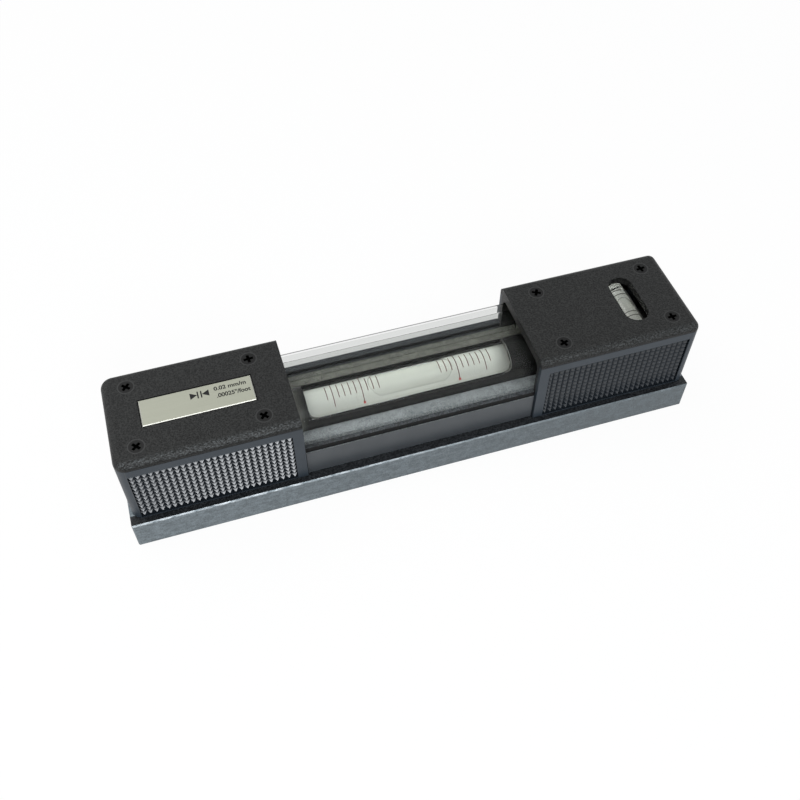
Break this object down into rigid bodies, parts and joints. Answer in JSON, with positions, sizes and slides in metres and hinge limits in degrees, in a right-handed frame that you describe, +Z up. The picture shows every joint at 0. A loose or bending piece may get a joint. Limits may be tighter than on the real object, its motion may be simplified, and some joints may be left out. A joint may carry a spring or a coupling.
{
  "type": "precision machinist level",
  "caption": "Bar-type precision machinist level: grooved iron base, knurled black end covers, adjustable main vial under a clear hood and a cross vial in one cover.",
  "frame": {"origin": "centre of the sole's underside, on the plane the level stands on", "axes": "+X along the length towards the cover with the cross vial, +Y across the width, +Z up"},
  "size_m": [0.2, 0.0424, 0.0411],
  "materials": {
    "cast_iron": "ground and scraped iron, slightly mottled",
    "cover_plastic": "fine leather-like texture, smooth side margins",
    "black_screw": "black oxide",
    "plate_metal": "pale champagne, satin",
    "clear_acrylic": "clear polished",
    "seal_strip": "dark sealing strip",
    "carrier_black": "black oxide, satin",
    "vial_glass": "clear ground glass",
    "vial_liquid": "clear spirit",
    "liner_white": "off-white liner",
    "line_ink": "dark reddish-brown filled lines",
    "seat_plaster": "pale bedding compound",
    "brass_plug": "turned brass",
    "plain_steel": "plain steel",
    "holder_plastic": "black moulding"
  },
  "bodies": {
    "base": {"base_body": "cast_iron", "left_cover": "cover_plastic", "right_cover": "cover_plastic", "left_cover_screws": "black_screw", "right_cover_screws": "black_screw", "name_plate": "plate_metal", "clear_hood": "clear_acrylic", "hood_seal_front": "seal_strip", "hood_seal_back": "seal_strip", "pivot_pin": "plain_steel", "adjusting_spring": "plain_steel", "cross_vial_holder": "holder_plastic", "cross_vial_screws": "plain_steel", "cross_vial_glass": "vial_glass", "cross_vial_liquid": "vial_liquid", "cross_vial_backing": "liner_white", "cross_vial_graduations": "line_ink"},
    "carrier": {"carrier_tube": "carrier_black", "carrier_pivot_plug": "brass_plug", "carrier_tongue_plug": "brass_plug", "main_vial_glass": "vial_glass", "main_vial_liquid": "vial_liquid", "main_vial_backing": "liner_white", "main_vial_graduations": "line_ink", "vial_seat_left": "seat_plaster", "vial_seat_right": "seat_plaster"},
    "washer": {"adjusting_washer": "plain_steel"},
    "screw": {"adjusting_screw": "plain_steel"}
  },
  "joints": [
    {"name": "washer_lift", "type": "slide", "parent": "base", "child": "washer", "axis": [0, 0, 1], "range_m": [-0.000376, 0.000376], "stiffness_N_per_m": 40, "springref_m": 0.0003, "deforming": ["adjusting_spring"]},
    {"name": "screw_turn", "type": "hinge", "parent": "washer", "child": "screw", "pos_m": [0.064, 0, 0.025], "axis": [0, 0, 1], "range_deg": [-270, 270]},
    {"name": "carrier_tilt", "type": "hinge", "parent": "base", "child": "carrier", "pos_m": [-0.069, 0, 0.018], "axis": [0, 1, 0], "range_deg": [-0.16, 0.16], "stiffness_Nm_per_rad": 5, "springref_deg": -0.73}
  ],
  "couplings": [
    {"joint": "washer_lift", "follows": "carrier_tilt", "m_per_rad": -0.133},
    {"joint": "screw_turn", "follows": "carrier_tilt", "ratio": -1671.3}
  ]
}
